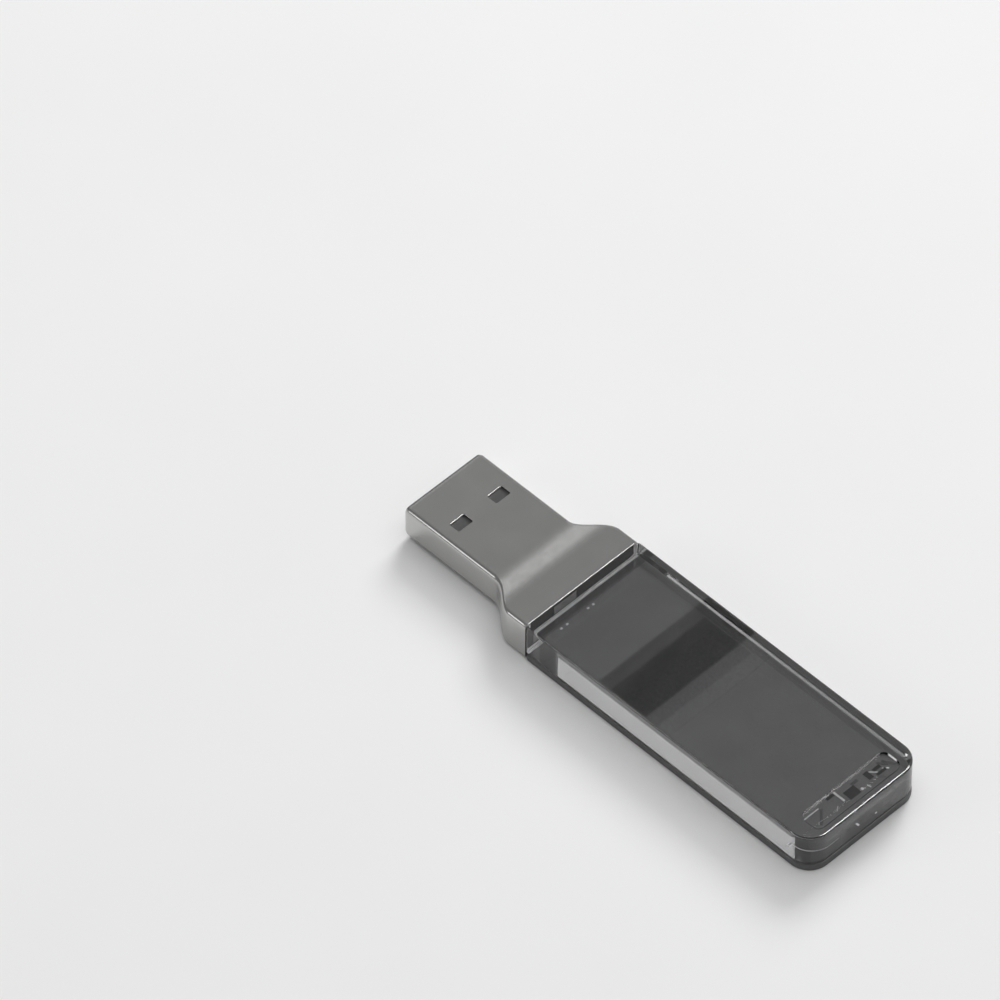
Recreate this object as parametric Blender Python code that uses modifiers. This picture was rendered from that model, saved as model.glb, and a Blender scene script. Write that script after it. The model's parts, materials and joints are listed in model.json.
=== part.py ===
"""USB memory stick: a one-piece metal USB-A plug and flared collar, with a clear crystal block behind it.

Metres, +Z up. The plug points along -X and the crystal's free end along +X; the stick lies on its base plate at Z = 0.
All sizes below are written in millimetres, x counted from the plug's tip, z from the middle plane of the plug.
"""

import math

import bmesh
import bpy
from mathutils import Matrix, Vector

MM = 0.001

# ---------------------------------------------------------------- sizes (mm)
LENGTH = 66.1  # tip of the plug to the free end of the crystal
PLUG_W, PLUG_H = 12.0, 4.5  # USB-A plug shell, outside
PLUG_END = 14.0  # where the shell starts to flare
FLARE_END = 19.3  # where the collar is at its full size
JOINT = 22.0  # rim of the collar, where the crystal starts
BODY_W, BODY_H = 17.76, 5.6  # crystal and collar, outside
WALL = 0.3  # sheet thickness of the metal
SHELL_R = 0.6  # corner radius of the metal's section
TIP_TAPER = 0.12  # the tip of the shell is drawn in by this much

WINDOW_X, WINDOW_Y = 5.95, 2.95  # centres of the four latch windows
WINDOW_L, WINDOW_W, WINDOW_R = 1.5, 2.25, 0.22

CLEAR = 0.03  # gap that touching pieces keep

TONGUE_TIP, TONGUE_ROOT, INSULATOR_END = 0.55, 9.3, 12.5
TONGUE_BOTTOM = -0.02  # the tongue fills the upper half, right under the windows
GROOVE = 0.12  # depth of the contacts' grooves in the tongue's underside
INSULATOR_W = 11.2
INSULATOR_BOTTOM, INSULATOR_TOP = -1.87, 1.9
CONTACT_W, CONTACT_T = 1.0, 0.2
CONTACT_END = 14.3
OUTER_CONTACT_Y, INNER_CONTACT_Y = 3.5, 1.0
OUTER_CONTACT_TIP, INNER_CONTACT_TIP = 1.25, 2.3

BOARD_T = 0.8
BOARD_TOP = TONGUE_BOTTOM + GROOVE - CONTACT_T - 2.5 * CLEAR  # the contacts run straight onto it
BOARD_START, BOARD_END = 12.6, 21.9
BOARD_NARROW, BOARD_WIDE, BOARD_TAIL = 10.8, 15.2, 14.0

CRYSTAL_START = 22.06
CRYSTAL_CORNER_R = 2.8  # upright corners of the free end
CRYSTAL_ROOT_R = 0.35  # upright corners at the collar
CRYSTAL_BOTTOM = -1.7  # underside of the clear slab
RIM_ROUND = 0.3  # rounding of the slab's top edges
LOWER_CHAMFER = 0.3  # flat chamfer along its bottom edges
LOWER_ROUND = 0.12  # rounding of the plate's edges
RECESS = (62.15, 65.2)  # shallow recess across the slab's top, near the free end
RECESS_HALF_W, RECESS_DEPTH, RECESS_R = 6.65, 0.35, 0.9
AIR_GAP = 0.12  # between the slab and the plate, bridged by three strips of adhesive

FRONT_GLUE = (22.4, 23.5)  # adhesive between slab and plate, at the collar
MIDDLE_GLUE = (35.7, 43.1)  # halfway along
REAR_GLUE = (61.2, 65.8)  # and at the free end
GLUE_INSET = 0.2  # from the long sides

LAMP_Y = (-3.5, -1.7)  # the two side-view lamps, side by side

X0 = -LENGTH / 2.0
Z0 = BODY_H / 2.0


def p(x, y, z):
    """A point in millimetres, from the tip and the plug's middle plane, as a world point in metres."""
    return Vector(((x + X0) * MM, y * MM, (z + Z0) * MM))


# ---------------------------------------------------------------- scene set-up
for old in list(bpy.data.objects):
    bpy.data.objects.remove(old, do_unlink=True)

parts = bpy.data.collections.new("usb_memory_stick")
bpy.context.scene.collection.children.link(parts)
cutters = bpy.data.collections.new("cutters")
bpy.context.scene.collection.children.link(cutters)

root = bpy.data.objects.new("stick", None)
parts.objects.link(root)


def material(name, colour, roughness, metallic=0.0, transmission=0.0, ior=1.45):
    mat = bpy.data.materials.new(name)
    mat.use_nodes = True
    shader = mat.node_tree.nodes["Principled BSDF"]
    shader.inputs["Base Color"].default_value = (*colour, 1.0)
    shader.inputs["Roughness"].default_value = roughness
    shader.inputs["Metallic"].default_value = metallic
    shader.inputs["Transmission Weight"].default_value = transmission
    shader.inputs["IOR"].default_value = ior
    mat.diffuse_color = (*colour, 1.0)
    return mat


STEEL = material("satin_steel", (0.42, 0.42, 0.43), 0.32, 1.0)
PLASTIC = material("moulded_plastic", (0.2, 0.2, 0.2), 0.45)
CARRIER = material("grey_plastic", (0.09, 0.09, 0.095), 0.5)
GOLD = material("gold_plating", (0.83, 0.61, 0.25), 0.22, 1.0)
BOARD = material("board_laminate", (0.015, 0.05, 0.03), 0.4)
EPOXY = material("chip_epoxy", (0.018, 0.018, 0.02), 0.55)
TIN = material("tinned_cap", (0.62, 0.62, 0.6), 0.3, 1.0)
CERAMIC = material("ceramic", (0.36, 0.26, 0.17), 0.5)
RESISTOR = material("resistor_body", (0.03, 0.03, 0.035), 0.45)
LAMP = material("lamp_resin", (0.85, 0.8, 0.68), 0.25)
CRYSTAL = material("clear_crystal", (0.93, 0.94, 0.94), 0.02, 0.0, 1.0, 1.5)
SMOKED = material("smoked_plate", (0.035, 0.035, 0.036), 0.3)
TAPE = material("adhesive_tape", (0.02, 0.02, 0.021), 0.6)
GLUE = material("bond_glue", (0.55, 0.56, 0.57), 0.25)


def place(obj, mat, collection=parts):
    obj.data.materials.clear()
    obj.data.materials.append(mat)
    for c in list(obj.users_collection):
        c.objects.unlink(obj)
    collection.objects.link(obj)
    if collection is parts:
        obj.parent = root
    return obj


def bevel(obj, width, segments=2, angle=30.0):
    m = obj.modifiers.new("Bevel", "BEVEL")
    m.width = width * MM
    m.segments = segments
    m.limit_method = "ANGLE"
    m.angle_limit = math.radians(angle)
    return obj


def box(name, x, y, z, mat, edge=0.0, segments=2, collection=parts):
    """A box from three (low, high) pairs in millimetres."""
    low, high = p(x[0], y[0], z[0]), p(x[1], y[1], z[1])
    bpy.ops.mesh.primitive_cube_add(size=1.0, location=(low + high) / 2.0)
    obj = bpy.context.object
    obj.name = obj.data.name = name
    obj.scale = high - low
    bpy.ops.object.transform_apply(location=False, rotation=False, scale=True)
    place(obj, mat, collection)
    if edge:
        bevel(obj, edge, segments)
    return obj


def cut(obj, *tools):
    for tool in tools:
        m = obj.modifiers.new("Cut " + tool.name, "BOOLEAN")
        m.operation = "DIFFERENCE"
        m.object = tool
        tool.hide_render = True
        tool.display_type = "WIRE"
    return obj


def cutter(name, x, y, z, edge=0.0, segments=3, axis=None):
    """A box to cut with. With an axis, only the edges along it are rounded."""
    obj = box(name, x, y, z, TAPE, collection=cutters)
    if edge:
        bm = bmesh.new()
        bm.from_mesh(obj.data)
        way = Vector((axis == "X", axis == "Y", axis == "Z"))
        along = [
            e
            for e in bm.edges
            if abs((e.verts[0].co - e.verts[1].co).normalized().dot(way)) > 0.99
        ]
        bmesh.ops.bevel(
            bm,
            geom=along,
            offset=edge * MM,
            segments=segments,
            profile=0.5,
            affect="EDGES",
        )
        bm.to_mesh(obj.data)
        bm.free()
    return obj


def outline(name, points, thickness, mat, turn=None, collection=parts):
    """A flat outline in the curve's own XY plane, extruded to both sides and made a closed mesh. Points in millimetres."""
    curve = bpy.data.curves.new(name, "CURVE")
    curve.dimensions = "2D"
    curve.fill_mode = "BOTH"
    curve.extrude = thickness * MM / 2.0
    spline = curve.splines.new("POLY")
    spline.points.add(len(points) - 1)
    for point, (a, b) in zip(spline.points, points):
        point.co = (a * MM, b * MM, 0.0, 1.0)
    spline.use_cyclic_u = True
    flat = bpy.data.objects.new(name + "_outline", curve)
    parts.objects.link(flat)
    if turn is not None:
        flat.matrix_world = turn
    bpy.context.view_layer.update()
    mesh = bpy.data.meshes.new_from_object(
        flat.evaluated_get(bpy.context.evaluated_depsgraph_get())
    )
    solid = bpy.data.objects.new(name, mesh)
    mesh.name = name
    parts.objects.link(solid)
    solid.matrix_world = flat.matrix_world.copy()
    bpy.data.objects.remove(flat, do_unlink=True)
    bpy.data.curves.remove(curve)
    bm = bmesh.new()
    bm.from_mesh(mesh)
    bmesh.ops.remove_doubles(bm, verts=bm.verts, dist=0.000001)
    bmesh.ops.recalc_face_normals(bm, faces=bm.faces)
    bm.to_mesh(mesh)
    bm.free()
    place(solid, mat, collection)
    return solid


def corner(cx, cy, radius, start, segments=6):
    """Points of a quarter circle, from the start angle in degrees, anticlockwise."""
    return [
        (
            cx + radius * math.cos(math.radians(start + 90.0 * i / segments)),
            cy + radius * math.sin(math.radians(start + 90.0 * i / segments)),
        )
        for i in range(segments + 1)
    ]


def smooth(value, low, high):
    t = min(1.0, max(0.0, (value - low) / (high - low)))
    return t * t * (3.0 - 2.0 * t)


# ---------------------------------------------------------------- metal housing
def section(half_w, half_h, radius, segments=5):
    ring = []
    for sy, sz, start in ((1, 1, 0.0), (-1, 1, 90.0), (-1, -1, 180.0), (1, -1, 270.0)):
        ring += corner(
            sy * (half_w - radius), sz * (half_h - radius), radius, start, segments
        )
    return ring


stations = [0.0, 0.08, 0.22, 0.45, 4.0, 8.0, 12.0, PLUG_END]
steps = 16
stations += [
    PLUG_END + (FLARE_END - PLUG_END) * i / steps for i in range(1, steps + 1)
]
stations += [20.6, JOINT]

shell_mesh = bpy.data.meshes.new("metal_housing")
bm = bmesh.new()
rings = []
for x in stations:
    grow = smooth(x, PLUG_END, FLARE_END)
    drawn_in = TIP_TAPER * (1.0 - smooth(x, -0.05, 0.45))
    half_w = PLUG_W / 2.0 + (BODY_W - PLUG_W) / 2.0 * grow - drawn_in
    half_h = PLUG_H / 2.0 + (BODY_H - PLUG_H) / 2.0 * grow - drawn_in
    rings.append(
        [bm.verts.new(p(x, y, z)) for y, z in section(half_w, half_h, SHELL_R)]
    )
for a, b in zip(rings, rings[1:]):
    count = len(a)
    for i in range(count):
        bm.faces.new((a[i], b[i], b[(i + 1) % count], a[(i + 1) % count]))
bmesh.ops.recalc_face_normals(bm, faces=bm.faces)
# an open tube: its faces look away from the axis, so Solidify grows inwards
if bm.faces[0].normal.dot(bm.faces[0].calc_center_median() - p(0.0, 0.0, 0.0)) < 0:
    bmesh.ops.reverse_faces(bm, faces=bm.faces)
bm.to_mesh(shell_mesh)
bm.free()
housing = bpy.data.objects.new("metal_housing", shell_mesh)
parts.objects.link(housing)
place(housing, STEEL)
thicken = housing.modifiers.new("Solidify", "SOLIDIFY")
thicken.thickness = WALL * MM
thicken.offset = -1.0
thicken.use_even_offset = True
thicken.use_rim = True
windows = []
for side, z in (("top", PLUG_H / 2.0), ("bottom", -PLUG_H / 2.0)):
    for hand, y in (("left", WINDOW_Y), ("right", -WINDOW_Y)):
        windows.append(
            cutter(
                f"window_{side}_{hand}",
                (WINDOW_X - WINDOW_L / 2.0, WINDOW_X + WINDOW_L / 2.0),
                (y - WINDOW_W / 2.0, y + WINDOW_W / 2.0),
                (z - 0.6, z + 0.6),
                WINDOW_R,
                3,
                "Z",
            )
        )
cut(housing, *windows)

# ---------------------------------------------------------------- plug insulator and contacts
# side profile in X and Z, extruded across Y
side_on = Matrix.Translation(p(0.0, 0.0, 0.0)) @ Matrix.Rotation(
    math.radians(90.0), 4, "X"
)
profile = [
    (TONGUE_TIP, INSULATOR_TOP),
    (TONGUE_TIP, TONGUE_BOTTOM + 0.45),
    (TONGUE_TIP + 0.45, TONGUE_BOTTOM),
    (TONGUE_ROOT, TONGUE_BOTTOM),
    (TONGUE_ROOT, INSULATOR_BOTTOM),
    (INSULATOR_END, INSULATOR_BOTTOM),
    (INSULATOR_END, INSULATOR_TOP),
]
insulator = outline("plug_insulator", profile, INSULATOR_W, PLASTIC, side_on)
bevel(insulator, 0.15, 2)
contacts = (
    ("contact_power", -OUTER_CONTACT_Y, OUTER_CONTACT_TIP),
    ("contact_data_minus", -INNER_CONTACT_Y, INNER_CONTACT_TIP),
    ("contact_data_plus", INNER_CONTACT_Y, INNER_CONTACT_TIP),
    ("contact_ground", OUTER_CONTACT_Y, OUTER_CONTACT_TIP),
)
slots = []
contact_z = TONGUE_BOTTOM + GROOVE - CLEAR - CONTACT_T
for name, y, tip in contacts:
    box(
        name,
        (tip, CONTACT_END),
        (y - CONTACT_W / 2.0, y + CONTACT_W / 2.0),
        (contact_z, contact_z + CONTACT_T),
        GOLD,
        0.06,
        2,
    )
    slots.append(
        cutter(
            name + "_slot",
            (tip - 0.08, INSULATOR_END + 0.6),
            (y - CONTACT_W / 2.0 - CLEAR, y + CONTACT_W / 2.0 + CLEAR),
            (contact_z - CLEAR, TONGUE_BOTTOM + GROOVE),
        )
    )
cut(insulator, *slots)

# ---------------------------------------------------------------- circuit board
flat_on = Matrix.Translation(p(0.0, 0.0, BOARD_TOP - BOARD_T / 2.0))
n, w, t = BOARD_NARROW / 2.0, BOARD_WIDE / 2.0, BOARD_TAIL / 2.0
plan = [
    (BOARD_START, -n),
    (16.6, -n),
    (18.8, -w),
    (21.4, -w),
    (21.4, -t),
    (BOARD_END, -t),
    (BOARD_END, t),
    (21.4, t),
    (21.4, w),
    (18.8, w),
    (16.6, n),
    (BOARD_START, n),
]
board = outline("circuit_board", plan, BOARD_T, BOARD, flat_on)
bevel(board, 0.05, 1)

top = BOARD_TOP + CLEAR
under = BOARD_TOP - BOARD_T - CLEAR
box("controller_chip", (14.6, 18.9), (-2.6, 2.4), (top, top + 0.85), EPOXY, 0.06, 2)
box("flash_chip", (14.6, 20.6), (-4.0, 4.0), (under - 0.8, under), EPOXY, 0.06, 2)
box("oscillator_can", (18.0, 20.5), (3.3, 6.5), (top, top + 0.7), TIN, 0.18, 3)
for name, x, y, mat, size in (
    ("capacitor_supply", 15.6, -4.1, CERAMIC, (0.8, 1.6, 0.8)),
    ("capacitor_core", 17.2, -4.1, CERAMIC, (0.5, 1.0, 0.5)),
    ("capacitor_flash", 15.7, 3.9, CERAMIC, (0.8, 1.6, 0.8)),
    ("capacitor_oscillator", 17.2, 5.0, CERAMIC, (0.5, 1.0, 0.5)),
    ("resistor_lamp_near", 19.7, LAMP_Y[0], RESISTOR, (0.5, 1.0, 0.35)),
    ("resistor_lamp_middle", 19.7, LAMP_Y[1], RESISTOR, (0.5, 1.0, 0.35)),
    ("ferrite_bead", 18.4, -4.7, RESISTOR, (0.8, 1.6, 0.7)),
):
    box(
        name,
        (x - size[0] / 2.0, x + size[0] / 2.0),
        (y - size[1] / 2.0, y + size[1] / 2.0),
        (top, top + size[2]),
        mat,
        0.05,
        2,
    )
for name, y in (("lamp_near", LAMP_Y[0]), ("lamp_middle", LAMP_Y[1])):
    box(name, (20.3, 21.85), (y - 0.45, y + 0.45), (top, top + 0.75), LAMP, 0.12, 3)

# ---------------------------------------------------------------- inner carrier
inner_w, inner_h = BODY_W / 2.0 - WALL - 0.05, BODY_H / 2.0 - WALL - 0.05
carrier = box(
    "inner_carrier",
    (20.75, JOINT - 0.03),
    (-inner_w, inner_w),
    (-inner_h, inner_h),
    CARRIER,
)
tool = cutter(
    "carrier_opening", (20.0, 23.0), (-7.05, 7.05), (-1.3, 1.4), 0.5, 3, "X"
)
side_slot = cutter(
    "carrier_board_slot",
    (20.0, 21.45),
    (-BOARD_WIDE / 2.0 - 0.05, BOARD_WIDE / 2.0 + 0.05),
    (BOARD_TOP - BOARD_T - 0.04, BOARD_TOP + 0.04),
)
bmc = bmesh.new()
bmc.from_mesh(carrier.data)
bmesh.ops.bevel(
    bmc,
    geom=[
        e
        for e in bmc.edges
        if abs((e.verts[0].co - e.verts[1].co).normalized().x) > 0.99
    ],
    offset=0.42 * MM,
    segments=4,
    profile=0.5,
    affect="EDGES",
)
bmc.to_mesh(carrier.data)
bmc.free()
cut(carrier, tool, side_slot)

# ---------------------------------------------------------------- crystal block
half = BODY_W / 2.0


def block_plan(low_x, high_x, half_w, root_r, end_r):
    """Plan of the slab, the plate and the rear adhesive: small corners at the collar, large ones at the free end."""
    return (
        corner(high_x - end_r, half_w - end_r, end_r, 0, 10)
        + corner(low_x + root_r, half_w - root_r, root_r, 90, 3)
        + corner(low_x + root_r, -half_w + root_r, root_r, 180, 3)
        + corner(high_x - end_r, -half_w + end_r, end_r, 270, 10)
    )


def slab(name, plan, low_z, high_z, mat):
    """The plan as a flat block between two heights."""
    at = Matrix.Translation(p(0.0, 0.0, (low_z + high_z) / 2.0))
    return outline(name, plan, high_z - low_z, mat, at)


def round_rims(obj, width, segments, side):
    """Rounds the edges round the top face (side 1) or the bottom face (side -1) of a flat block."""
    bm = bmesh.new()
    bm.from_mesh(obj.data)
    rims = [
        e
        for e in bm.edges
        if e.verts[0].co.z * side > 0.0
        and e.verts[1].co.z * side > 0.0
        and len(e.link_faces) == 2
        and e.calc_face_angle(0.0) > 1.0
    ]
    bmesh.ops.bevel(
        bm,
        geom=rims,
        offset=width * MM,
        segments=segments,
        profile=0.5,
        affect="EDGES",
        clamp_overlap=True,
    )
    bm.to_mesh(obj.data)
    bm.free()


crystal = slab(
    "crystal_block",
    block_plan(CRYSTAL_START, LENGTH, half, CRYSTAL_ROOT_R, CRYSTAL_CORNER_R),
    CRYSTAL_BOTTOM,
    BODY_H / 2.0,
    CRYSTAL,
)
round_rims(crystal, RIM_ROUND, 3, 1)
round_rims(crystal, LOWER_CHAMFER, 1, -1)
recess = cutter(
    "crystal_recess",
    RECESS,
    (-RECESS_HALF_W, RECESS_HALF_W),
    (BODY_H / 2.0 - RECESS_DEPTH, BODY_H / 2.0 + 1.0),
    RECESS_R,
    5,
    "Z",
)
cut(crystal, recess)

# ---------------------------------------------------------------- base plate and adhesive
plate = slab(
    "base_plate",
    block_plan(CRYSTAL_START, LENGTH, half, CRYSTAL_ROOT_R, CRYSTAL_CORNER_R),
    -BODY_H / 2.0,
    CRYSTAL_BOTTOM - AIR_GAP,
    SMOKED,
)
round_rims(plate, LOWER_ROUND, 2, 1)
round_rims(plate, LOWER_ROUND, 2, -1)
glue_z = (CRYSTAL_BOTTOM - AIR_GAP + 0.02, CRYSTAL_BOTTOM - 0.02)
glue_w = half - GLUE_INSET
slab(
    "plate_adhesive_front",
    block_plan(*FRONT_GLUE, glue_w, 0.3, 0.3),
    *glue_z,
    TAPE,
)
slab(
    "plate_adhesive_middle",
    block_plan(*MIDDLE_GLUE, glue_w, 0.3, 0.3),
    *glue_z,
    TAPE,
)
slab(
    "plate_adhesive_rear",
    block_plan(*REAR_GLUE, glue_w, 0.3, CRYSTAL_CORNER_R - GLUE_INSET),
    *glue_z,
    TAPE,
)

# ---------------------------------------------------------------- bond between collar and crystal
bond = box(
    "joint_bond",
    (JOINT - 0.02, CRYSTAL_START - 0.01),
    (-inner_w, inner_w),
    (-inner_h, inner_h),
    GLUE,
)
bond_hole = cutter(
    "bond_opening", (JOINT - 1.0, JOINT + 1.0), (-8.1, 8.1), (-1.25, 2.2), 0.7, 4, "X"
)
cut(bond, bond_hole)
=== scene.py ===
"""Looks of the USB memory stick with a crystal block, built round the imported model."""

import json
import math

import bmesh
import bpy
from mathutils import Matrix, Vector, noise

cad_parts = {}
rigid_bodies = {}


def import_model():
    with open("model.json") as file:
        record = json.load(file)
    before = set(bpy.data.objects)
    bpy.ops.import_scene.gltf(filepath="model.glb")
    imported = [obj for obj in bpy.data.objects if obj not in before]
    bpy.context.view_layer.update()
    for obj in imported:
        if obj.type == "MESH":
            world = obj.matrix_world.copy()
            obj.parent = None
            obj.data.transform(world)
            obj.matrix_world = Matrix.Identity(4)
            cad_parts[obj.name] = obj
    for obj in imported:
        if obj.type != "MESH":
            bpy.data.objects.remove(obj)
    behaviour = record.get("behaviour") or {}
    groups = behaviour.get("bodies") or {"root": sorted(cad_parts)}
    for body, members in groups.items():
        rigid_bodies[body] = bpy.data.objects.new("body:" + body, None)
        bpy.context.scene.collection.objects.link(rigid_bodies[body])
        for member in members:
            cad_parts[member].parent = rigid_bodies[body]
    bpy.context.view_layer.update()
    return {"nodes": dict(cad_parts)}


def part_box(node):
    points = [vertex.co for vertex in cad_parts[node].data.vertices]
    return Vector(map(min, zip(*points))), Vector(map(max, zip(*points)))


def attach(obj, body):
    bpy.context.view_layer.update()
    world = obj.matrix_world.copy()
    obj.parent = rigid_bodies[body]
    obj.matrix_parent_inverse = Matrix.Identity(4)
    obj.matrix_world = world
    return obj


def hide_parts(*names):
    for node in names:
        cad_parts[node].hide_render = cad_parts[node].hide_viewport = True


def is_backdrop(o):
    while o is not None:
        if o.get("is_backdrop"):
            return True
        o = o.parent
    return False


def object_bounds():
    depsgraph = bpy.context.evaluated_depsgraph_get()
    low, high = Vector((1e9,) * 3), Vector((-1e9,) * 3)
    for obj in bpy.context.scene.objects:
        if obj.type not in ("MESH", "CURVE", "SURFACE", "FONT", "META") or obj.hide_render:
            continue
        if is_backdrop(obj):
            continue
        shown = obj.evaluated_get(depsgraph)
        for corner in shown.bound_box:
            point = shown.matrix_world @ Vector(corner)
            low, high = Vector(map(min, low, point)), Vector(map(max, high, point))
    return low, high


MM = 0.001
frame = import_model()

housing_low, housing_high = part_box("metal_housing")
crystal_low, crystal_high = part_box("crystal_block")
plate_low, plate_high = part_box("base_plate")
insulator_low, insulator_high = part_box("plug_insulator")
board_low, board_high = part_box("circuit_board")
carrier_low, carrier_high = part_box("inner_carrier")
bond_low, bond_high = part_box("joint_bond")

TIP = housing_low.x  # the plug's tip
MID = (housing_low.z + housing_high.z) / 2.0  # the plug's middle plane
JOINT = (housing_high.x - TIP) / MM
END = (crystal_high.x - TIP) / MM
HALF_W = housing_high.y / MM
HALF_H = (housing_high.z - MID) / MM

PLUG_HALF_W, PLUG_HALF_H = 6.0, 2.25
PLUG_END, FLARE_END, RISE_END = 14.0, 19.3, 18.4
WALL, SHELL_R, TIP_TAPER = 0.3, 0.6, 0.12


def P(x, y, z):
    """Millimetres from the tip and the middle plane, as a point in the frame."""
    return Vector((TIP + x * MM, y * MM, MID + z * MM))


scene = bpy.context.scene
looks = bpy.data.collections.new("looks")
scene.collection.children.link(looks)
tools = bpy.data.collections.new("tools")
scene.collection.children.link(tools)

# ---------------------------------------------------------------- camera
AZ, EL = math.radians(45.26), math.radians(49.42)
FOCAL_PX, PX_PER_MM = 12000.0, 9.022
towards = Vector(
    (math.sin(AZ) * math.cos(EL), -math.cos(AZ) * math.cos(EL), math.sin(EL))
)
right = Vector((math.cos(AZ), math.sin(AZ), 0.0))
up = towards.cross(right)
aim = P(31.0, 0.0, 0.0)
eye = (
    aim
    + towards * (FOCAL_PX / PX_PER_MM * MM)
    - right * ((639.107 - 500.0) / PX_PER_MM * MM)
    - up * ((500.0 - 643.801) / PX_PER_MM * MM)
)
cam_data = bpy.data.cameras.new("camera")
cam_data.sensor_width = 36.0
cam_data.lens = 36.0 * FOCAL_PX / 1000.0
cam_data.clip_start = 0.01
cam_data.clip_end = 20.0
camera = bpy.data.objects.new("camera", cam_data)
camera.matrix_world = Matrix.Translation(eye) @ Matrix(
    (right, up, towards)
).transposed().to_4x4()
scene.collection.objects.link(camera)
scene.camera = camera


# ---------------------------------------------------------------- node helpers
class Mat:
    """A Principled material and short ways to add nodes to it."""

    def __init__(self, name):
        self.m = bpy.data.materials.new(name)
        self.m.use_nodes = True
        self.t = self.m.node_tree
        self.p = self.t.nodes["Principled BSDF"]
        self.out = self.t.nodes["Material Output"]

    def set(self, **values):
        for key, value in values.items():
            sock = self.p.inputs[key.replace("_", " ")]
            if sock.type == "RGBA" and len(value) == 3:
                value = (*value, 1.0)
            sock.default_value = value
        return self

    def node(self, kind, ins=None, **props):
        n = self.t.nodes.new(kind)
        for key, value in props.items():
            setattr(n, key, value)
        for key, value in (ins or {}).items():
            sock = n.inputs[key]
            if isinstance(value, bpy.types.NodeSocket):
                self.t.links.new(value, sock)
            else:
                sock.default_value = value
        return n

    def coords(self, scale=(1.0, 1.0, 1.0), rotation=(0.0, 0.0, 0.0)):
        tex = self.node("ShaderNodeTexCoord")
        return self.node(
            "ShaderNodeMapping",
            {"Vector": tex.outputs["Object"], "Scale": scale, "Rotation": rotation},
        ).outputs["Vector"]

    def noise(self, scale, detail=3.0, rough=0.55, vector=None, distortion=0.0):
        return self.node(
            "ShaderNodeTexNoise",
            {
                "Vector": vector if vector is not None else self.coords(),
                "Scale": scale,
                "Detail": detail,
                "Roughness": rough,
                "Distortion": distortion,
            },
        ).outputs["Fac"]

    def ramp(self, fac, stops, interpolation="LINEAR"):
        n = self.node("ShaderNodeValToRGB", {"Fac": fac})
        n.color_ramp.interpolation = interpolation
        els = n.color_ramp.elements
        while len(els) < len(stops):
            els.new(0.5)
        for el, (pos, col) in zip(els, stops):
            el.position = pos
            el.color = (*col, 1.0) if len(col) == 3 else col
        return n.outputs["Color"]

    def remap(self, value, lo, hi, a=0.0, b=1.0):
        return self.node(
            "ShaderNodeMapRange",
            {
                "Value": value,
                "From Min": lo,
                "From Max": hi,
                "To Min": a,
                "To Max": b,
            },
        ).outputs["Result"]

    def math(self, op, a, b=0.0):
        return self.node("ShaderNodeMath", {0: a, 1: b}, operation=op).outputs[0]

    def bump(self, height, strength, distance, normal=None):
        ins = {"Height": height, "Strength": strength, "Distance": distance}
        if normal is not None:
            ins["Normal"] = normal
        return self.node("ShaderNodeBump", ins).outputs["Normal"]

    def to(self, name, output):
        self.t.links.new(output, self.p.inputs[name])
        return self


def grey(v):
    return (v, v, v)


def steel():
    """Fine satin steel: a short grain across the stick, faint clouds of handling, and a slightly uneven satin."""
    m = Mat("satin_steel_look").set(Metallic=1.0)
    grain = m.noise(9000.0, 4.0, 0.6, m.coords((1.0, 0.22, 1.0)))
    cloud = m.noise(260.0, 3.0, 0.5)
    colour = m.ramp(
        m.math("ADD", m.math("MULTIPLY", grain, 0.4), m.math("MULTIPLY", cloud, 0.6)),
        [(0.32, (0.465, 0.464, 0.456)), (0.68, (0.51, 0.509, 0.5))],
    )
    m.to("Base Color", colour)
    m.to("Roughness", m.remap(m.noise(1400.0, 4.0, 0.6), 0.3, 0.7, 0.22, 0.27))
    m.to("Normal", m.bump(grain, 0.012, 0.00001))
    return m.m


SMOKE = 63.0  # how strongly the crystal's body takes light, per metre


def crystal_glass():
    """Clear, slightly smoky crystal with a polished surface."""
    m = Mat("clear_crystal_look").set(
        Base_Color=(1.0, 1.0, 1.0),
        Roughness=0.0,
        IOR=1.85,
        Transmission_Weight=1.0,
    )
    m.to("Normal", m.bump(m.noise(700.0, 2.0, 0.5), 0.02, 0.000003))
    absorb = m.node(
        "ShaderNodeVolumeAbsorption",
        {"Color": (0.5, 0.5, 0.503, 1.0), "Density": SMOKE},
    )
    m.t.links.new(absorb.outputs["Volume"], m.out.inputs["Volume"])
    return m.m


def bonded(name, low, high):
    """A face of the crystal that something is stuck to, seen through the crystal."""
    m = Mat(name).set(Roughness=0.7)
    m.p.inputs["Specular IOR Level"].default_value = 0.0
    fine = m.noise(2600.0, 4.0, 0.65)
    m.to("Base Color", m.ramp(fine, [(0.3, low), (0.7, high)]))
    m.to("Roughness", m.remap(fine, 0.3, 0.7, 0.6, 0.8))
    m.t.links.new(
        m.node(
            "ShaderNodeVolumeAbsorption",
            {"Color": (0.5, 0.5, 0.503, 1.0), "Density": SMOKE},
        ).outputs["Volume"],
        m.out.inputs["Volume"],
    )
    return m.m


def smoked():
    """Smoked plate: dark, slightly cloudy, with fine flecks under a half-gloss surface."""
    m = Mat("smoked_plate_look").set(Roughness=0.5)
    m.p.inputs["Specular IOR Level"].default_value = 0.3
    fleck = m.noise(5200.0, 4.0, 0.65)
    cloud = m.noise(220.0, 3.0, 0.5)
    m.to(
        "Base Color",
        m.ramp(
            m.math(
                "ADD", m.math("MULTIPLY", fleck, 0.6), m.math("MULTIPLY", cloud, 0.4)
            ),
            [(0.3, grey(0.085)), (0.7, grey(0.125))],
        ),
    )
    m.to("Roughness", m.remap(fleck, 0.3, 0.7, 0.38, 0.55))
    m.to("Normal", m.bump(fleck, 0.1, 0.00001))
    return m.m


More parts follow.
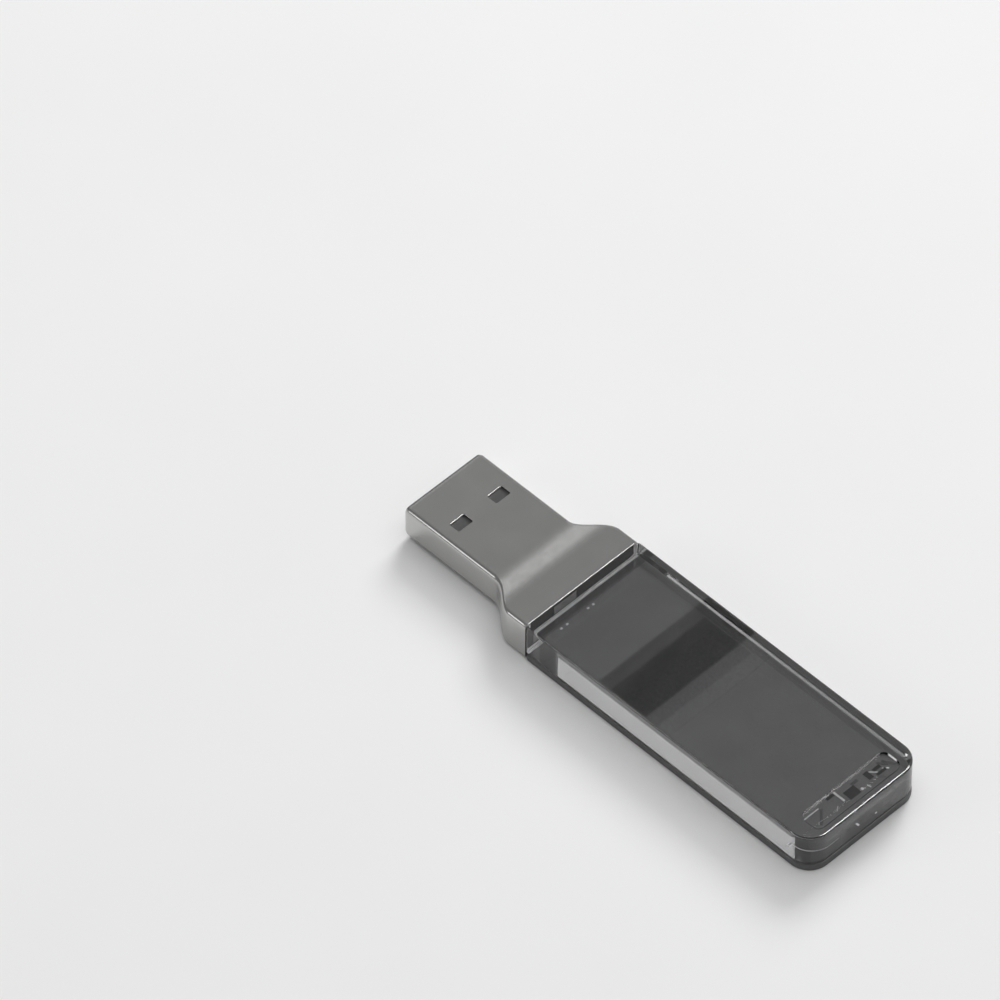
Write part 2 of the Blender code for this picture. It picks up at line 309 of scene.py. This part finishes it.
def plastic(name, low, high, rough, scale=3000.0):
    m = Mat(name)
    fine = m.noise(scale, 4.0, 0.6)
    m.to("Base Color", m.ramp(fine, [(0.3, low), (0.7, high)]))
    m.to("Roughness", m.remap(fine, 0.3, 0.7, rough - 0.07, rough + 0.07))
    m.to("Normal", m.bump(fine, 0.15, 0.00001))
    return m.m


def metal(name, low, high, rough):
    m = Mat(name).set(Metallic=1.0)
    fine = m.noise(5000.0, 3.0, 0.6)
    m.to("Base Color", m.ramp(fine, [(0.3, low), (0.7, high)]))
    m.to("Roughness", m.remap(fine, 0.3, 0.7, rough - 0.06, rough + 0.06))
    m.to("Normal", m.bump(fine, 0.08, 0.00001))
    return m.m


STEEL = steel()
CLEAR = crystal_glass()
ROOTED = bonded("bonded_root_look", grey(0.014), grey(0.024))
# bright bonded glue: its near-white colour is partly a painted highlight, standing in for glints at the joint and
# the free end
GLUE_AND_GLINT = bonded("bonded_glue_and_glint_look", grey(0.82), grey(0.9))
LENSED = bonded("bonded_lamp_look", grey(0.16), grey(0.3))
SMOKED = smoked()
MOULDED = plastic("moulded_plastic_look", grey(0.058), grey(0.078), 0.45)
GREY = plastic("grey_plastic_look", grey(0.05), grey(0.075), 0.5)
BOARD = plastic("board_look", (0.008, 0.016, 0.012), (0.014, 0.028, 0.02), 0.38, 1600.0)
EPOXY = plastic("chip_look", grey(0.014), grey(0.024), 0.55)
CERAMIC = plastic("ceramic_look", (0.3, 0.21, 0.13), (0.4, 0.3, 0.2), 0.5)
RESISTOR = plastic("resistor_look", grey(0.02), grey(0.035), 0.42)
TAPE = plastic("tape_look", grey(0.012), grey(0.02), 0.7)
TINTED = plastic("tinted_tape_look", grey(0.075), grey(0.11), 0.6)
# white glue: its brightness is partly a painted glint, on the bond line and on the small light dots and bars of the
# adhesives
WHITE_GLUE_AND_GLINT = plastic("white_glue_and_glint_look", grey(0.8), grey(0.88), 0.3)
LAMP = plastic("lamp_look", (0.5, 0.49, 0.45), (0.62, 0.6, 0.56), 0.3)
GOLD = metal("gold_look", (0.75, 0.54, 0.2), (0.88, 0.66, 0.3), 0.24)
TIN = metal("tin_look", grey(0.55), grey(0.66), 0.32)


# ---------------------------------------------------------------- mesh helpers
def add(name, mesh, mat, collection=looks):
    obj = bpy.data.objects.new(name, mesh)
    collection.objects.link(obj)
    for one in mat if isinstance(mat, list) else [mat]:
        mesh.materials.append(one)
    return obj


def apply(obj):
    """The object's modifiers, applied to its mesh."""
    bpy.context.view_layer.update()
    deps = bpy.context.evaluated_depsgraph_get()
    mesh = bpy.data.meshes.new_from_object(
        obj.evaluated_get(deps), preserve_all_data_layers=True, depsgraph=deps
    )
    old = obj.data
    obj.modifiers.clear()
    obj.data = mesh
    bpy.data.meshes.remove(old)
    return obj


def soft(obj, angle=35.0):
    """Smooth shading, with the edges over the angle kept sharp."""
    for f in obj.data.polygons:
        f.use_smooth = True
    bm = bmesh.new()
    bm.from_mesh(obj.data)
    for e in bm.edges:
        e.smooth = not (
            len(e.link_faces) != 2 or e.calc_face_angle(0.0) > math.radians(angle)
        )
    bm.to_mesh(obj.data)
    bm.free()
    return obj


def bevel(obj, width, segments=3, angle=40.0):
    m = obj.modifiers.new("Bevel", "BEVEL")
    m.width = width * MM
    m.segments = segments
    m.limit_method = "ANGLE"
    m.angle_limit = math.radians(angle)
    m.harden_normals = False
    return obj


def box_mesh(name, low, high, round_axis=None, radius=0.0, segments=5):
    """A box mesh from two corners in the frame. With an axis, only the edges along it are rounded, by radius mm."""
    mesh = bpy.data.meshes.new(name)
    bm = bmesh.new()
    bmesh.ops.create_cube(bm, size=1.0)
    size, centre = high - low, (high + low) / 2.0
    for v in bm.verts:
        v.co = Vector(
            (v.co.x * size.x, v.co.y * size.y, v.co.z * size.z)
        ) + centre
    if radius:
        way = Vector((round_axis == "X", round_axis == "Y", round_axis == "Z"))
        bmesh.ops.bevel(
            bm,
            geom=[
                e
                for e in bm.edges
                if round_axis == "all"
                or abs((e.verts[0].co - e.verts[1].co).normalized().dot(way)) > 0.99
            ],
            offset=radius * MM,
            segments=segments,
            profile=0.5,
            affect="EDGES",
        )
    bm.to_mesh(mesh)
    bm.free()
    return mesh


def cutter(name, low, high, axis=None, radius=0.0, segments=5):
    obj = add(name, box_mesh(name, low, high, axis, radius, segments), TAPE, tools)
    obj.hide_render = True
    return obj


def cut(obj, *cutters):
    for c in cutters:
        m = obj.modifiers.new("cut", "BOOLEAN")
        m.operation = "DIFFERENCE"
        m.object = c
    return obj


def drop_tools():
    for o in list(tools.objects):
        bpy.data.objects.remove(o, do_unlink=True)


def arc(cx, cy, radius, start, segments):
    return [
        (
            cx + radius * math.cos(math.radians(start + 90.0 * i / segments)),
            cy + radius * math.sin(math.radians(start + 90.0 * i / segments)),
        )
        for i in range(segments + 1)
    ]


def smooth(value, low, high):
    t = min(1.0, max(0.0, (value - low) / (high - low)))
    return t * t * (3.0 - 2.0 * t)


def done(obj, name, angle=35.0):
    """Finishes a piece: modifiers applied, shaded, riding on the body, standing for its CAD node."""
    if obj.modifiers:
        apply(obj)
    soft(obj, angle)
    weigh = obj.modifiers.new("Weighted normals", "WEIGHTED_NORMAL")
    weigh.mode = "FACE_AREA"
    weigh.weight = 90
    weigh.keep_sharp = True
    apply(obj)
    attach(obj, "root")
    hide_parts(name)
    return obj


# ---------------------------------------------------------------- metal housing
def ring(half_w, half_h, radius, segments):
    pts = []
    for sy, sz, start in ((1, 1, 0.0), (-1, 1, 90.0), (-1, -1, 180.0), (1, -1, 270.0)):
        pts += arc(sy * (half_w - radius), sz * (half_h - radius), radius, start, segments)
    return pts


stations = [0.0, 0.04, 0.1, 0.18, 0.28, 0.4, 0.55, 2.0, 4.0, 8.0, 12.0, PLUG_END]
STEPS = 44
stations += [PLUG_END + (FLARE_END - PLUG_END) * i / STEPS for i in range(1, STEPS + 1)]
stations += [20.2, 21.2, JOINT]
bm = bmesh.new()
rings = []
for x in stations:
    grow = smooth(x, PLUG_END, FLARE_END)
    drawn = TIP_TAPER * (1.0 - smooth(x, -0.05, 0.45))
    w = PLUG_HALF_W + (HALF_W - PLUG_HALF_W) * grow - drawn
    rise = smooth(x, PLUG_END, RISE_END)
    h = PLUG_HALF_H + (HALF_H - PLUG_HALF_H) * rise - drawn
    rings.append([bm.verts.new(P(x, y, z)) for y, z in ring(w, h, SHELL_R, 8)])
for a, b in zip(rings, rings[1:]):
    n = len(a)
    for i in range(n):
        bm.faces.new((a[i], b[i], b[(i + 1) % n], a[(i + 1) % n]))
bmesh.ops.recalc_face_normals(bm, faces=bm.faces)
face = bm.faces[0]
if face.normal.dot(face.calc_center_median() - P(0, 0, 0)) < 0:
    bmesh.ops.reverse_faces(bm, faces=bm.faces)
mesh = bpy.data.meshes.new("housing")
bm.to_mesh(mesh)
bm.free()
housing = add("housing", mesh, STEEL)
thick = housing.modifiers.new("Solidify", "SOLIDIFY")
thick.thickness = WALL * MM
thick.offset = -1.0
thick.use_even_offset = True
windows = []
for z in (PLUG_HALF_H, -PLUG_HALF_H):
    for y in (-2.95, 2.95):
        windows.append(
            cutter(
                "window",
                P(5.95 - 0.75, y - 1.125, z - 0.6),
                P(5.95 + 0.75, y + 1.125, z + 0.6),
                "Z",
                0.22,
                5,
            )
        )
cut(housing, *windows)
apply(housing)
bevel(housing, 0.055, 3, 50.0)
done(housing, "metal_housing", 30.0)
drop_tools()

# ---------------------------------------------------------------- crystal block
CORNER_R, ROOT_R, RIM, LOWER = 2.8, 0.35, 0.3, 0.3
RECESS, RECESS_HALF_W, RECESS_DEPTH, RECESS_R = (62.15, 65.2), 6.65, 0.35, 0.9
START = (crystal_low.x - TIP) / MM
SLAB_LOW = (crystal_low.z - MID) / MM


def strip(node):
    low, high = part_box(node)
    return (low.x - TIP) / MM, (high.x - TIP) / MM


def block(name, mat, low_z, high_z, top_round, low_round, low_steps=4):
    """A flat block in the stick's plan, with large corners at the free end and both rims rounded."""
    plan = (
        arc(END - CORNER_R, HALF_W - CORNER_R, CORNER_R, 0, 28)
        + arc(START + ROOT_R, HALF_W - ROOT_R, ROOT_R, 90, 8)
        + arc(START + ROOT_R, -HALF_W + ROOT_R, ROOT_R, 180, 8)
        + arc(END - CORNER_R, -HALF_W + CORNER_R, CORNER_R, 270, 28)
    )
    bm = bmesh.new()
    low_ring = [bm.verts.new(P(x, y, low_z)) for x, y in plan]
    high_ring = [bm.verts.new(P(x, y, high_z)) for x, y in plan]
    n = len(plan)
    for i in range(n):
        bm.faces.new(
            (low_ring[i], low_ring[(i + 1) % n], high_ring[(i + 1) % n], high_ring[i])
        )
    bm.faces.new(high_ring)
    bm.faces.new(list(reversed(low_ring)))
    bmesh.ops.recalc_face_normals(bm, faces=bm.faces)
    for level, width, segments in ((high_z, top_round, 6), (low_z, low_round, low_steps)):
        at = P(0, 0, level).z
        bmesh.ops.bevel(
            bm,
            geom=[
                e
                for e in bm.edges
                if all(abs(v.co.z - at) < 1e-7 for v in e.verts)
                and e.calc_face_angle(0.0) > 1.0
                and any(v.co.x > P(START + 0.01, 0, 0).x for v in e.verts)
            ],
            offset=width * MM,
            segments=segments,
            profile=0.5,
            affect="EDGES",
        )
    mesh = bpy.data.meshes.new(name)
    bm.to_mesh(mesh)
    bm.free()
    return add(name, mesh, mat)


crystal = block("crystal", [CLEAR, ROOTED, GLUE_AND_GLINT, LENSED], SLAB_LOW, HALF_H, RIM, LOWER, 1)
cut(
    crystal,
    cutter(
        "recess",
        P(RECESS[0], -RECESS_HALF_W, HALF_H - RECESS_DEPTH),
        P(RECESS[1], RECESS_HALF_W, HALF_H + 1.0),
        "Z",
        RECESS_R,
        8,
    ),
)
apply(crystal)
bm = bmesh.new()
bm.from_mesh(crystal.data)


def score(faces, point, normal):
    """Cuts some flat faces along a plane, without changing their shape."""
    edges = {e for f in faces for e in f.edges}
    verts = {v for f in faces for v in f.verts}
    bmesh.ops.bisect_plane(
        bm,
        geom=list(faces) + list(edges) + list(verts),
        plane_co=point,
        plane_no=normal,
        dist=1e-8,
    )


def underside():
    return [
        f
        for f in bm.faces
        if f.normal.z < -0.99 and abs(f.calc_center_median().z - floor_z) < 0.02 * MM
    ]


def root_face():
    return [
        f
        for f in bm.faces
        if f.normal.x < -0.99 and abs(f.calc_center_median().x - root_x) < 0.02 * MM
    ]


floor_z, root_x = P(0, 0, SLAB_LOW).z, P(START, 0, 0).x
# a thin strip of bright glue on the underside by the root, partly a painted highlight line
UNDER_FILLET = (START + 0.06, START + 0.36)
# what sticks to the underside near the free end: x and y ranges, dark blocks first, then light bars whose bright
# glue colour is a painted glint
STUCK = [
    (62.1, 63.4, 0.35, 2.0, 1),
    (61.75, 62.9, 3.8, 4.5, 1),
    (62.0, 62.45, 5.0, 6.1, 1),
    (62.75, 63.15, 4.9, 6.3, 1),
    (61.3, 61.7, -1.6, -0.5, 1),
    (61.3, 63.0, -0.42, -0.14, 2),
    (61.68, 61.84, -5.5, -3.1, 2),
    (63.0, 63.35, 2.2, 2.5, 2),
]
for x in UNDER_FILLET:
    score(underside(), P(x, 0, 0), (1.0, 0.0, 0.0))
for x0, x1, y0, y1, _ in STUCK:
    for x in (x0, x1):
        score(underside(), P(x, 0, 0), (1.0, 0.0, 0.0))
    for y in (y0, y1):
        score(
            [f for f in underside() if f.calc_center_median().x > P(61, 0, 0).x],
            P(0, y, 0),
            (0.0, 1.0, 0.0),
        )
for f in underside():
    x = (f.calc_center_median().x - TIP) / MM
    if UNDER_FILLET[0] < x < UNDER_FILLET[1]:
        f.material_index = 2
    y = f.calc_center_median().y / MM
    for x0, x1, y0, y1, index in STUCK:
        if x0 < x < x1 and y0 < y < y1:
            f.material_index = index
# the glue's frame on the root face: a bar along the bottom and one up each side, in bright glue that partly paints
# the joint's highlight lines
LENS = (-4.4, -0.9, -1.0, 1.9)
for z in (-1.25, LENS[2], LENS[3], 2.35):
    score(root_face(), P(START, 0, z), (0.0, 0.0, 1.0))
for y in (-8.1, 8.1, LENS[0], LENS[1]):
    score(root_face(), P(START, y, 0), (0.0, 1.0, 0.0))
for side in (-1.0, 1.0):
    score(root_face(), P(START, side * 7.6, -1.25), (0.0, side * 0.7071, -0.7071))
for f in root_face():
    c = f.calc_center_median()
    y, z = c.y / MM, (c.z - MID) / MM
    f.material_index = 1
    if z < -1.25 or abs(y) > 8.1 or abs(y) - z > 8.85:
        f.material_index = 2
    elif LENS[0] < y < LENS[1] and LENS[2] < z < LENS[3]:
        f.material_index = 3
bm.to_mesh(crystal.data)
bm.free()
done(crystal, "crystal_block", 30.0)
drop_tools()

# ---------------------------------------------------------------- base plate
plate = block(
    "smoked_base", SMOKED, (plate_low.z - MID) / MM, (plate_high.z - MID) / MM, 0.12, 0.12
)
done(plate, "base_plate")

# ---------------------------------------------------------------- adhesive under the crystal
def pad(mesh_bm, at, size, turn, mat_index, low_z, high_z):
    """One flat blob of adhesive in the gap: its middle and its size in mm, and its turn in degrees."""
    made = bmesh.ops.create_cube(mesh_bm, size=1.0)["verts"]
    c, sn = math.cos(math.radians(turn)), math.sin(math.radians(turn))
    for v in made:
        x, y = v.co.x * size[0], v.co.y * size[1]
        v.co = P(
            at[0] + c * x - sn * y,
            at[1] + sn * x + c * y,
            low_z if v.co.z < 0 else high_z,
        )
    for f in {f for v in made for f in v.link_faces}:
        f.material_index = mat_index


def adhesive(name, node, blobs):
    low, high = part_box(node)
    bottom, top = (low.z - MID) / MM, (high.z - MID) / MM
    bm = bmesh.new()
    for at, size, turn, index in blobs:
        pad(bm, at, size, turn, index, bottom, top)
    mesh = bpy.data.meshes.new(name)
    bm.to_mesh(mesh)
    bm.free()
    obj = add(name, mesh, [TAPE, WHITE_GLUE_AND_GLINT])
    bevel(obj, 0.02, 2)
    done(obj, node)


GLUE_FRONT = strip("plate_adhesive_front")
adhesive(
    "front_adhesive",
    "plate_adhesive_front",
    [(((GLUE_FRONT[0] + 0.15 + GLUE_FRONT[1]) / 2.0, 0.0), (GLUE_FRONT[1] - GLUE_FRONT[0] - 0.15, 17.2), 0.0, 0)]
    # four small dots of light glue, painted glints
    + [((23.82, y), (0.24, 0.3), 0.0, 1) for y in (-5.0, -4.1, -0.8, 0.0)],
)
adhesive(
    "rear_adhesive",
    "plate_adhesive_rear",
    [
        ((62.75, 1.2), (1.3, 1.6), 0.0, 0),
        ((62.6, 7.1), (1.7, 0.3), 30.0, 0),
        ((62.2, 6.5), (1.3, 0.25), 40.0, 0),
        ((62.8, -3.7), (2.2, 0.33), -45.0, 0),
        ((61.9, 2.4), (0.35, 1.0), 0.0, 0),
        # the last four blobs, in white glue, are painted glints
        ((62.35, 4.9), (0.14, 1.0), -45.0, 1),
        ((63.4, 3.2), (0.5, 0.12), 15.0, 1),
        ((63.2, -1.6), (0.7, 0.1), -50.0, 1),
        ((62.9, 6.3), (0.8, 0.12), 50.0, 1),
    ],
)

# ---------------------------------------------------------------- bond line and lamps
# the bond line's white glue is partly a painted glint along the joint
bond = add(
    "bond_line",
    box_mesh("bond_line", bond_low, bond_high, "X", 0.42, 8),
    WHITE_GLUE_AND_GLINT,
)
cut(
    bond,
    cutter(
        "bond_opening",
        Vector((bond_low.x - MM, -8.1 * MM, MID - 1.25 * MM)),
        Vector((bond_high.x + MM, 8.1 * MM, MID + 2.2 * MM)),
        "X",
        0.7,
        8,
    ),
)
done(bond, "joint_bond", 30.0)
drop_tools()

for node in ("lamp_near", "lamp_middle"):
    low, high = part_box(node)
    width = high.y - low.y
    pads = box_mesh(node + "_body", low, high, "all", 0.06, 3)
    lamp = add(node + "_body", pads, [LAMP, TIN])
    bm = bmesh.new()
    bm.from_mesh(lamp.data)
    for side in (-1, 1):
        start = len(bm.verts)
        pad = bmesh.ops.create_cube(bm, size=1.0)["verts"]
        y = (low.y + high.y) / 2.0 + side * (width / 2.0 - 0.1 * MM)
        for v in pad:
            v.co = Vector(
                (
                    high.x - 0.02 * MM + v.co.x * 0.12 * MM,
                    y + v.co.y * 0.2 * MM,
                    (low.z + high.z) / 2.0 + v.co.z * 0.5 * MM,
                )
            )
        for f in {f for v in pad for f in v.link_faces}:
            f.material_index = 1
    bm.to_mesh(lamp.data)
    bm.free()
    done(lamp, node)

# ---------------------------------------------------------------- plug insulator and contacts
TONGUE_TIP, TONGUE_ROOT, INSULATOR_END = 0.55, 9.3, 12.5
TONGUE_BOTTOM, GROOVE_TOP = -0.02, 0.10
i_low, i_high = (insulator_low.z - MID) / MM, (insulator_high.z - MID) / MM
i_half = insulator_high.y / MM
profile = [
    (TONGUE_TIP, i_high),
    (TONGUE_TIP, TONGUE_BOTTOM + 0.45),
    (TONGUE_TIP + 0.45, TONGUE_BOTTOM),
    (TONGUE_ROOT, TONGUE_BOTTOM),
    (TONGUE_ROOT, i_low),
    (INSULATOR_END, i_low),
    (INSULATOR_END, i_high),
]
bm = bmesh.new()
near = [bm.verts.new(P(x, -i_half, z)) for x, z in profile]
far = [bm.verts.new(P(x, i_half, z)) for x, z in profile]
n = len(profile)
for i in range(n):
    bm.faces.new((near[i], near[(i + 1) % n], far[(i + 1) % n], far[i]))
bm.faces.new(near)
bm.faces.new(far)
bmesh.ops.recalc_face_normals(bm, faces=bm.faces)
mesh = bpy.data.meshes.new("tongue")
bm.to_mesh(mesh)
bm.free()
tongue = add("tongue", mesh, MOULDED)
grooves = []
CONTACTS = ("contact_power", "contact_data_minus", "contact_data_plus", "contact_ground")
for node in CONTACTS:
    low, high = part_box(node)
    grooves.append(
        cutter(
            node + "_groove",
            Vector((low.x - 0.08 * MM, low.y - 0.03 * MM, low.z - 0.03 * MM)),
            Vector((P(INSULATOR_END + 0.6, 0, 0).x, high.y + 0.03 * MM, P(0, 0, GROOVE_TOP).z)),
        )
    )
cut(tongue, *grooves)
apply(tongue)
bevel(tongue, 0.07, 3, 50.0)
done(tongue, "plug_insulator")
drop_tools()
for node in CONTACTS:
    low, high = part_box(node)
    strip_mesh = box_mesh(node + "_strip", low, high)
    bm = bmesh.new()
    bm.from_mesh(strip_mesh)
    # the front end is drawn to a blunt point and dips into its groove
    for v in bm.verts:
        if v.co.x < low.x + 1e-6:
            v.co.y = (low.y + high.y) / 2.0 + (v.co.y - (low.y + high.y) / 2.0) * 0.72
            if v.co.z < low.z + 1e-6:
                v.co.z += 0.09 * MM
    for at in (0.35, 0.7):
        bmesh.ops.bisect_plane(
            bm,
            geom=bm.verts[:] + bm.edges[:] + bm.faces[:],
            plane_co=(low.x + at * MM, 0, 0),
            plane_no=(1, 0, 0),
        )
    for v in bm.verts:
        if v.co.x > low.x + 0.3 * MM:
            side = 1 if v.co.y > (low.y + high.y) / 2.0 else -1
            v.co.y = high.y if side > 0 else low.y
            if v.co.z < (low.z + high.z) / 2.0:
                v.co.z = low.z
    bm.to_mesh(strip_mesh)
    bm.free()
    contact = add(node + "_strip", strip_mesh, GOLD)
    bevel(contact, 0.035, 3)
    done(contact, node)

# ---------------------------------------------------------------- carried-over nodes
LOOK = {
    "circuit_board": BOARD,
    "controller_chip": EPOXY,
    "flash_chip": EPOXY,
    "oscillator_can": TIN,
    "capacitor_supply": CERAMIC,
    "capacitor_core": CERAMIC,
    "capacitor_flash": CERAMIC,
    "capacitor_oscillator": CERAMIC,
    "resistor_lamp_near": RESISTOR,
    "resistor_lamp_middle": RESISTOR,
    "ferrite_bead": RESISTOR,
    "inner_carrier": GREY,
    "plate_adhesive_middle": TINTED,
}
for node, look in LOOK.items():
    obj = frame["nodes"].get(node)
    if obj is None:
        continue
    for s in obj.material_slots:
        s.material = look

# ---------------------------------------------------------------- floor and light
bm = bmesh.new()
bmesh.ops.create_grid(bm, x_segments=8, y_segments=8, size=3.0)
mesh = bpy.data.meshes.new("floor")
bm.to_mesh(mesh)
bm.free()
pale = Mat("pale_floor").set(Roughness=0.9)
pale.to(
    "Base Color",
    pale.ramp(pale.noise(30.0, 3.0, 0.5), [(0.3, grey(0.87)), (0.7, grey(0.885))]),
)
pale.p.inputs["Specular IOR Level"].default_value = 0.1
floor = add("floor", mesh, pale.m)
floor.location.z = -0.00002
floor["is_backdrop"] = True

WORLD, DIFFUSER, SWEEP, EDGE = 0.23, 0.385, 1.2, 13.0
KEY, FILL, CARD = 0.35, 1.25, 1.9
world = bpy.data.worlds.new("studio")
world.use_nodes = True
world.node_tree.nodes["Background"].inputs["Color"].default_value = (1, 1, 1, 1)
world.node_tree.nodes["Background"].inputs["Strength"].default_value = WORLD
scene.world = world


def area(name, way, distance, size, size_y, radiance):
    """A rectangular light at a direction and distance from the stick's middle; its second side lies along Y."""
    way = Vector(way).normalized()
    data = bpy.data.lights.new(name, "AREA")
    data.shape = "RECTANGLE"
    data.size, data.size_y = size, size_y
    data.energy = radiance * math.pi * size * size_y
    obj = bpy.data.objects.new(name, data)
    across = (Vector((0.0, 1.0, 0.0)) - way * way.y).normalized()
    obj.matrix_world = Matrix.Translation(way * distance) @ Matrix(
        (across.cross(way), across, way)
    ).transposed().to_4x4()
    obj.visible_camera = False
    scene.collection.objects.link(obj)
    return obj


# a wide diffuser over the stick, with a narrow dark bar across it
DIFF_H = 0.26
bm = bmesh.new()
bmesh.ops.create_grid(bm, x_segments=2, y_segments=2, size=1.0)
for v in bm.verts:
    v.co.x *= 0.17
    v.co.y *= 0.17
mesh = bpy.data.meshes.new("diffuser")
bm.to_mesh(mesh)
bm.free()
lit = bpy.data.materials.new("diffuser_glow")
lit.use_nodes = True
t = lit.node_tree
t.nodes.clear()
coord = t.nodes.new("ShaderNodeTexCoord")
xyz = t.nodes.new("ShaderNodeSeparateXYZ")
t.links.new(coord.outputs["Object"], xyz.inputs[0])
away = t.nodes.new("ShaderNodeMath")
away.operation = "ABSOLUTE"
t.links.new(xyz.outputs["X"], away.inputs[0])
edge = t.nodes.new("ShaderNodeMapRange")
edge.inputs["To Min"].default_value = 0.01
edge.inputs["To Max"].default_value = DIFFUSER
t.links.new(away.outputs[0], edge.inputs["Value"])
glow = t.nodes.new("ShaderNodeEmission")
t.links.new(edge.outputs["Result"], glow.inputs["Strength"])
out = t.nodes.new("ShaderNodeOutputMaterial")
t.links.new(glow.outputs[0], out.inputs["Surface"])
diffuser = add("diffuser", mesh, lit)
# the bar's mirror image on the crystal's top is 7.3 mm wide and lies 36.9 mm from the tip
seen_at = P(36.9, 0.0, HALF_H)
lift = DIFF_H - seen_at.z
reach = lift / (eye.z - seen_at.z)
diffuser.location = seen_at + Vector(
    ((seen_at.x - eye.x) * reach, (seen_at.y - eye.y) * reach, lift)
)
bar_half = 3.65 * MM * (1.0 + reach)
edge.inputs["From Min"].default_value = bar_half - 0.0002
edge.inputs["From Max"].default_value = bar_half + 0.0002
diffuser.visible_camera = False
diffuser.visible_shadow = False
diffuser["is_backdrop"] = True

key = area("key", (-0.3, 0.75, 0.6), 0.9, 0.4, 0.4, 1.0)
key.data.energy = KEY * math.pi * math.pi * 0.9**2 / 0.6
fill = area("fill", (0.0, 0.1, 1.0), 1.2, 1.4, 1.4, FILL)
for one in (key, fill):
    one.visible_glossy = False
    one.visible_transmission = False
sweep = area("sweep", (-0.70, 0.458, 0.548), 0.5, 0.07, 0.4, SWEEP)
sweep.visible_diffuse = False
rim_light = area("rim_light", (0.4, 0.458, 0.79), 0.5, 0.26, 0.3, EDGE)
rim_light.visible_diffuse = False
card = area("front_card", (-0.462, -0.77, 0.458), 0.5, 0.16, 0.16, CARD)

scene.view_settings.view_transform = "Standard"
scene.view_settings.look = "None"
scene.view_settings.exposure = 0.0
scene.view_settings.gamma = 1.0
scene.cycles.max_bounces = 24
scene.cycles.transmission_bounces = 20
scene.cycles.glossy_bounces = 8
scene.cycles.sample_clamp_indirect = 6.0

low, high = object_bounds()
